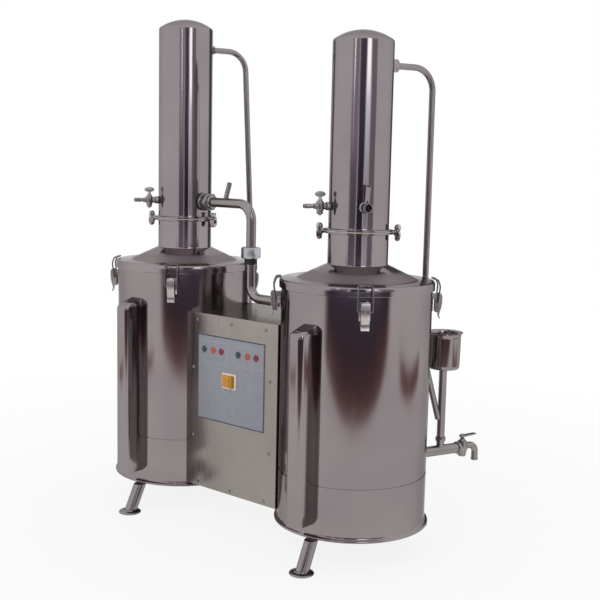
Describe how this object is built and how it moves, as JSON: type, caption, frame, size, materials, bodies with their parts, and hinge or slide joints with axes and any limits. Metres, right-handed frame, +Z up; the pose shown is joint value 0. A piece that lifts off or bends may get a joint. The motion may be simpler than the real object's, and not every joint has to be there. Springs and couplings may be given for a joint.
{
  "type": "electric double water distiller",
  "caption": "Double electric water distiller in polished stainless steel: upright boilers with latched lids and condenser towers, piped together, with a control box between them.",
  "frame": {"origin": "on the bench, under the middle of the footprint box", "axes": "+Z up, +X from the first boiler to the second, -Y towards the control panel's front"},
  "size_m": [0.8133, 0.5236, 1.082],
  "materials": {
    "polished_steel": "polished stainless steel",
    "box_steel": "polished stainless sheet",
    "pipe_steel": "drawn stainless tube",
    "fitting_steel": "turned stainless",
    "hardware_steel": "pressed stainless",
    "screw_steel": "zinc plated",
    "heater_steel": "oxidised stainless sheath",
    "bundle_steel": "drawn stainless tube",
    "gasket_rubber": "silicone",
    "coupling_rubber": "black hose rubber",
    "rocker_amber": "translucent amber",
    "bezel_plastic": "cream moulding",
    "lamps_green": "green lens",
    "lamps_amber": "amber lens",
    "lamps_red": "red lens"
  },
  "bodies": {
    "root": {"tank_right": "polished_steel", "lid_right": "polished_steel", "condenser_right": "polished_steel", "tank_left": "polished_steel", "lid_left": "polished_steel", "condenser_left": "polished_steel", "condenser_bundles": "bundle_steel", "gaskets": "gasket_rubber", "heaters": "heater_steel", "legs": "polished_steel", "wiring_covers": "polished_steel", "control_box": "box_steel", "front_panel": "box_steel", "panel_screws": "screw_steel", "lamps_green": "lamps_green", "lamps_amber": "lamps_amber", "lamps_red": "lamps_red", "rocker_bezel": "bezel_plastic", "transfer_pipe_upper": "pipe_steel", "transfer_pipe_lower": "pipe_steel", "transfer_nuts": "pipe_steel", "rubber_coupling": "coupling_rubber", "overflow_nuts": "pipe_steel", "overflow_pipe_right": "pipe_steel", "overflow_pipe_left": "pipe_steel", "level_cups": "pipe_steel", "drain_pipes": "pipe_steel", "tap_bodies": "fitting_steel", "petcock_bodies": "fitting_steel", "latch_bases": "hardware_steel"},
    "latch_lever_right_1": {"latch_lever_right_1": "hardware_steel"},
    "latch_bail_right_1": {"latch_bail_right_1": "hardware_steel"},
    "latch_lever_right_2": {"latch_lever_right_2": "hardware_steel"},
    "latch_bail_right_2": {"latch_bail_right_2": "hardware_steel"},
    "latch_lever_right_3": {"latch_lever_right_3": "hardware_steel"},
    "latch_bail_right_3": {"latch_bail_right_3": "hardware_steel"},
    "latch_lever_right_4": {"latch_lever_right_4": "hardware_steel"},
    "latch_bail_right_4": {"latch_bail_right_4": "hardware_steel"},
    "swing_bolt_right_front": {"swing_bolt_right_front": "hardware_steel"},
    "wing_nut_right_front": {"wing_nut_right_front": "hardware_steel"},
    "swing_bolt_right_rear": {"swing_bolt_right_rear": "hardware_steel"},
    "wing_nut_right_rear": {"wing_nut_right_rear": "hardware_steel"},
    "petcock_key_right": {"petcock_key_right": "fitting_steel"},
    "tap_lever_right": {"tap_lever_right": "fitting_steel"},
    "latch_lever_left_1": {"latch_lever_left_1": "hardware_steel"},
    "latch_bail_left_1": {"latch_bail_left_1": "hardware_steel"},
    "latch_lever_left_2": {"latch_lever_left_2": "hardware_steel"},
    "latch_bail_left_2": {"latch_bail_left_2": "hardware_steel"},
    "latch_lever_left_3": {"latch_lever_left_3": "hardware_steel"},
    "latch_bail_left_3": {"latch_bail_left_3": "hardware_steel"},
    "latch_lever_left_4": {"latch_lever_left_4": "hardware_steel"},
    "latch_bail_left_4": {"latch_bail_left_4": "hardware_steel"},
    "swing_bolt_left_rear": {"swing_bolt_left_rear": "hardware_steel"},
    "wing_nut_left_rear": {"wing_nut_left_rear": "hardware_steel"},
    "swing_bolt_left_front": {"swing_bolt_left_front": "hardware_steel"},
    "wing_nut_left_front": {"wing_nut_left_front": "hardware_steel"},
    "petcock_key_left": {"petcock_key_left": "fitting_steel"},
    "tap_lever_left": {"tap_lever_left": "fitting_steel"},
    "rocker": {"rocker": "rocker_amber"}
  },
  "joints": [
    {"name": "latch_lever_right_1_hinge", "type": "hinge", "parent": "root", "child": "latch_lever_right_1", "pos_m": [0.36255, -0.16638, 0.515], "axis": [-0.7254, -0.6884, 0], "range_deg": [0, 80]},
    {"name": "latch_bail_right_1_hinge", "type": "hinge", "parent": "latch_lever_right_1", "child": "latch_bail_right_1", "pos_m": [0.36117, -0.16493, 0.5025], "axis": [-0.7254, -0.6884, 0], "range_deg": [-68, 0]},
    {"name": "latch_lever_right_2_hinge", "type": "hinge", "parent": "root", "child": "latch_lever_right_2", "pos_m": [0.3686, 0.06477, 0.515], "axis": [0.6884, -0.7254, 0], "range_deg": [0, 80]},
    {"name": "latch_bail_right_2_hinge", "type": "hinge", "parent": "latch_lever_right_2", "child": "latch_bail_right_2", "pos_m": [0.36715, 0.06339, 0.5025], "axis": [0.6884, -0.7254, 0], "range_deg": [-68, 0]},
    {"name": "latch_lever_right_3_hinge", "type": "hinge", "parent": "root", "child": "latch_lever_right_3", "pos_m": [0.13745, 0.07082, 0.515], "axis": [0.7254, 0.6884, 0], "range_deg": [0, 80]},
    {"name": "latch_bail_right_3_hinge", "type": "hinge", "parent": "latch_lever_right_3", "child": "latch_bail_right_3", "pos_m": [0.13883, 0.06937, 0.5025], "axis": [0.7254, 0.6884, 0], "range_deg": [-68, 0]},
    {"name": "latch_lever_right_4_hinge", "type": "hinge", "parent": "root", "child": "latch_lever_right_4", "pos_m": [0.1314, -0.16033, 0.515], "axis": [-0.6884, 0.7254, 0], "range_deg": [0, 80]},
    {"name": "latch_bail_right_4_hinge", "type": "hinge", "parent": "latch_lever_right_4", "child": "latch_bail_right_4", "pos_m": [0.13285, -0.15895, 0.5025], "axis": [-0.6884, 0.7254, 0], "range_deg": [-68, 0]},
    {"name": "swing_bolt_right_front_hinge", "type": "hinge", "parent": "root", "child": "swing_bolt_right_front", "pos_m": [0.18771, -0.09304, 0.629], "axis": [0.5878, -0.809, 0], "range_deg": [0, 95]},
    {"name": "wing_nut_right_front_spin", "type": "hinge", "parent": "swing_bolt_right_front", "child": "wing_nut_right_front", "pos_m": [0.18771, -0.09304, 0.6463], "axis": [0, 0, 1], "continuous": true},
    {"name": "swing_bolt_right_rear_hinge", "type": "hinge", "parent": "root", "child": "swing_bolt_right_rear", "pos_m": [0.31229, -0.00252, 0.629], "axis": [-0.5878, 0.809, 0], "range_deg": [0, 95]},
    {"name": "wing_nut_right_rear_spin", "type": "hinge", "parent": "swing_bolt_right_rear", "child": "wing_nut_right_rear", "pos_m": [0.31229, -0.00252, 0.6463], "axis": [0, 0, 1], "continuous": true},
    {"name": "petcock_key_right_turn", "type": "hinge", "parent": "root", "child": "petcock_key_right", "pos_m": [0.209, -0.11879, 0.69], "axis": [0, 0, 1], "range_deg": [0, 90]},
    {"name": "tap_lever_right_turn", "type": "hinge", "parent": "root", "child": "tap_lever_right", "pos_m": [0.34611, 0.21627, 0.17], "axis": [0, 0, 1], "range_deg": [-90, 0]},
    {"name": "latch_lever_left_1_hinge", "type": "hinge", "parent": "root", "child": "latch_lever_left_1", "pos_m": [-0.1516, -0.17836, 0.515], "axis": [-0.7986, -0.6018, 0], "range_deg": [0, 80]},
    {"name": "latch_bail_left_1_hinge", "type": "hinge", "parent": "latch_lever_left_1", "child": "latch_bail_left_1", "pos_m": [-0.15281, -0.17676, 0.5025], "axis": [-0.7986, -0.6018, 0], "range_deg": [-68, 0]},
    {"name": "latch_lever_left_2_hinge", "type": "hinge", "parent": "root", "child": "latch_lever_left_2", "pos_m": [-0.11942, 0.05062, 0.515], "axis": [0.6018, -0.7986, 0], "range_deg": [0, 80]},
    {"name": "latch_bail_left_2_hinge", "type": "hinge", "parent": "latch_lever_left_2", "child": "latch_bail_left_2", "pos_m": [-0.12102, 0.04941, 0.5025], "axis": [0.6018, -0.7986, 0], "range_deg": [-68, 0]},
    {"name": "latch_lever_left_3_hinge", "type": "hinge", "parent": "root", "child": "latch_lever_left_3", "pos_m": [-0.3484, 0.0828, 0.515], "axis": [0.7986, 0.6018, 0], "range_deg": [0, 80]},
    {"name": "latch_bail_left_3_hinge", "type": "hinge", "parent": "latch_lever_left_3", "child": "latch_bail_left_3", "pos_m": [-0.34719, 0.0812, 0.5025], "axis": [0.7986, 0.6018, 0], "range_deg": [-68, 0]},
    {"name": "latch_lever_left_4_hinge", "type": "hinge", "parent": "root", "child": "latch_lever_left_4", "pos_m": [-0.38058, -0.14618, 0.515], "axis": [-0.6018, 0.7986, 0], "range_deg": [0, 80]},
    {"name": "latch_bail_left_4_hinge", "type": "hinge", "parent": "latch_lever_left_4", "child": "latch_bail_left_4", "pos_m": [-0.37898, -0.14497, 0.5025], "axis": [-0.6018, 0.7986, 0], "range_deg": [-68, 0]},
    {"name": "swing_bolt_left_rear_hinge", "type": "hinge", "parent": "root", "child": "swing_bolt_left_rear", "pos_m": [-0.31384, -0.09084, 0.629], "axis": [0.5592, -0.829, 0], "range_deg": [0, 95]},
    {"name": "wing_nut_left_rear_spin", "type": "hinge", "parent": "swing_bolt_left_rear", "child": "wing_nut_left_rear", "pos_m": [-0.31384, -0.09084, 0.6463], "axis": [0, 0, 1], "continuous": true},
    {"name": "swing_bolt_left_front_hinge", "type": "hinge", "parent": "root", "child": "swing_bolt_left_front", "pos_m": [-0.17468, -0.03177, 0.629], "axis": [-0.2079, 0.9781, 0], "range_deg": [0, 95]},
    {"name": "wing_nut_left_front_spin", "type": "hinge", "parent": "swing_bolt_left_front", "child": "wing_nut_left_front", "pos_m": [-0.17468, -0.03177, 0.6463], "axis": [0, 0, 1], "continuous": true},
    {"name": "petcock_key_left_turn", "type": "hinge", "parent": "root", "child": "petcock_key_left", "pos_m": [-0.291, -0.11879, 0.682], "axis": [0, 0, 1], "range_deg": [0, 90]},
    {"name": "tap_lever_left_turn", "type": "hinge", "parent": "root", "child": "tap_lever_left", "pos_m": [-0.15389, 0.21627, 0.17], "axis": [0, 0, 1], "range_deg": [-90, 0]},
    {"name": "rocker_tip", "type": "hinge", "parent": "root", "child": "rocker", "pos_m": [-0.0025, -0.14378, 0.314], "axis": [0, 0, 1], "range_deg": [0, 14]}
  ],
  "couplings": [
    {"joint": "latch_bail_right_1_hinge", "follows": "latch_lever_right_1_hinge", "ratio": -0.85},
    {"joint": "latch_bail_right_2_hinge", "follows": "latch_lever_right_2_hinge", "ratio": -0.85},
    {"joint": "latch_bail_right_3_hinge", "follows": "latch_lever_right_3_hinge", "ratio": -0.85},
    {"joint": "latch_bail_right_4_hinge", "follows": "latch_lever_right_4_hinge", "ratio": -0.85},
    {"joint": "latch_bail_left_1_hinge", "follows": "latch_lever_left_1_hinge", "ratio": -0.85},
    {"joint": "latch_bail_left_2_hinge", "follows": "latch_lever_left_2_hinge", "ratio": -0.85},
    {"joint": "latch_bail_left_3_hinge", "follows": "latch_lever_left_3_hinge", "ratio": -0.85},
    {"joint": "latch_bail_left_4_hinge", "follows": "latch_lever_left_4_hinge", "ratio": -0.85}
  ]
}
